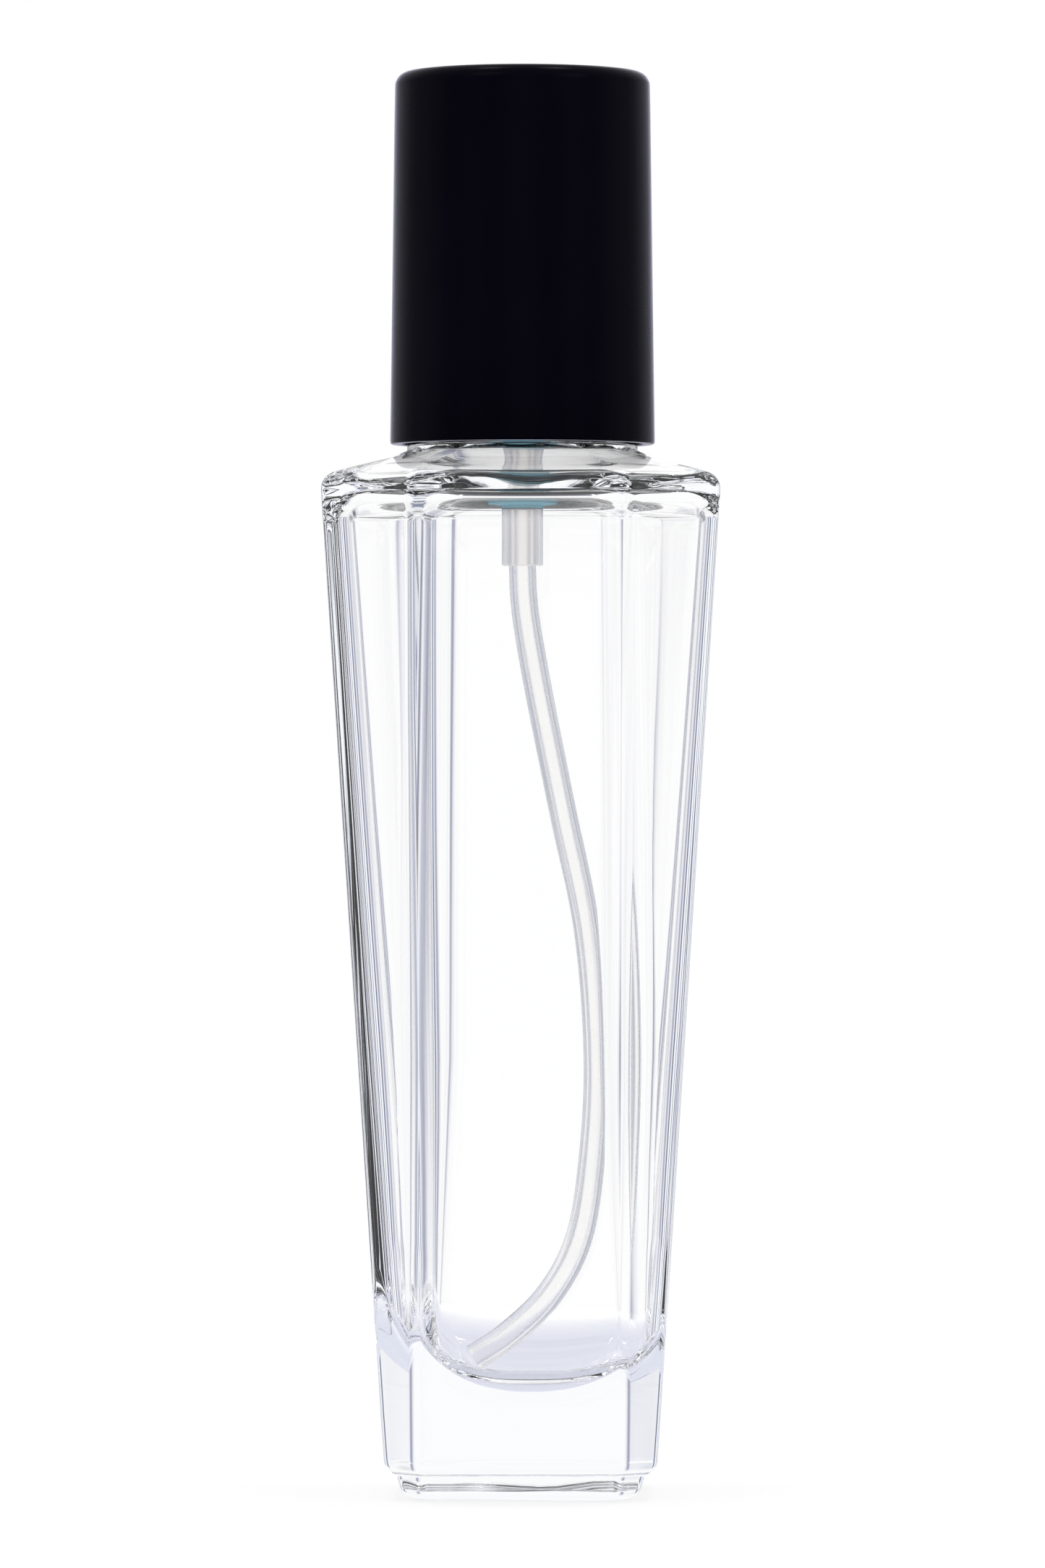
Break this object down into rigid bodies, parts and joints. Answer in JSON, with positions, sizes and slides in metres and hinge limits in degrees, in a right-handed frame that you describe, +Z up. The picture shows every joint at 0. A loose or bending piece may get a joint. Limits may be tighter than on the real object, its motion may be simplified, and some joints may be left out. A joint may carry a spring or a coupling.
{
  "type": "aftershave spray bottle",
  "caption": "Tapered clear glass bottle with cut corners on a recessed foot, a screw-on fine-mist pump with a curved dip tube, and a black pull-off overcap.",
  "frame": {"origin": "centre of the foot's underside, on the surface that the bottle stands on", "axes": "+Z up along the bottle's axis; the nozzle and one flat of the body face -Y; the dip tube bows towards +X"},
  "size_m": [0.0364, 0.0364, 0.131],
  "materials": {
    "glass_clear": "clear flint glass, fire-polished",
    "cap_black": "satin black, faint violet",
    "liner_white": "matte",
    "collar_white": "moulded white",
    "gasket_teal": "soft seal, teal",
    "housing_natural": "natural translucent polypropylene",
    "cage_teal": "moulded, teal",
    "steel_ball": "polished stainless steel",
    "steel_spring": "drawn stainless wire",
    "pump_white": "moulded natural white",
    "tube_natural": "extruded translucent polyethylene",
    "button_black": "moulded gloss black"
  },
  "bodies": {
    "bottle": {"glass_bottle": "glass_clear"},
    "pump": {"neck_gasket": "gasket_teal", "pump_housing": "housing_natural", "ball_cage": "cage_teal", "return_spring": "steel_spring", "turret": "pump_white", "dip_tube": "tube_natural"},
    "collar": {"screw_collar": "collar_white"},
    "ball": {"inlet_ball": "steel_ball"},
    "plunger": {"stem": "pump_white", "piston_seat": "pump_white"},
    "piston": {"piston": "pump_white"},
    "button": {"button": "button_black", "nozzle_insert": "pump_white"},
    "cap": {"cap_liner": "liner_white", "cap_shell": "cap_black"}
  },
  "joints": [
    {"name": "pump_rise", "type": "slide", "parent": "bottle", "child": "pump", "axis": [0, 0, 1], "range_m": [0, 0.00424]},
    {"name": "collar_turn", "type": "hinge", "parent": "pump", "child": "collar", "pos_m": [0, 0, 0.106], "axis": [0, 0, 1], "range_deg": [0, 720]},
    {"name": "button_press", "type": "slide", "parent": "pump", "child": "plunger", "axis": [0, 0, -1], "range_m": [0, 0.004], "stiffness_N_per_m": 1200, "springref_m": -0.003, "deforming": ["return_spring"]},
    {"name": "piston_slide", "type": "slide", "parent": "pump", "child": "piston", "axis": [0, 0, -1], "range_m": [0, 0.0035]},
    {"name": "button_turn", "type": "hinge", "parent": "plunger", "child": "button", "pos_m": [0, 0, 0.1216], "axis": [0, 0, 1], "continuous": true},
    {"name": "ball_lift", "type": "slide", "parent": "pump", "child": "ball", "axis": [0, 0, 1], "range_m": [0, 0.0006]},
    {"name": "cap_pull", "type": "slide", "parent": "collar", "child": "cap", "axis": [0, 0, 1], "range_m": [0, 0.036]}
  ],
  "couplings": [
    {"joint": "pump_rise", "follows": "collar_turn", "m_per_rad": 0.00033693},
    {"joint": "piston_slide", "follows": "button_press", "ratio": 0.875}
  ]
}
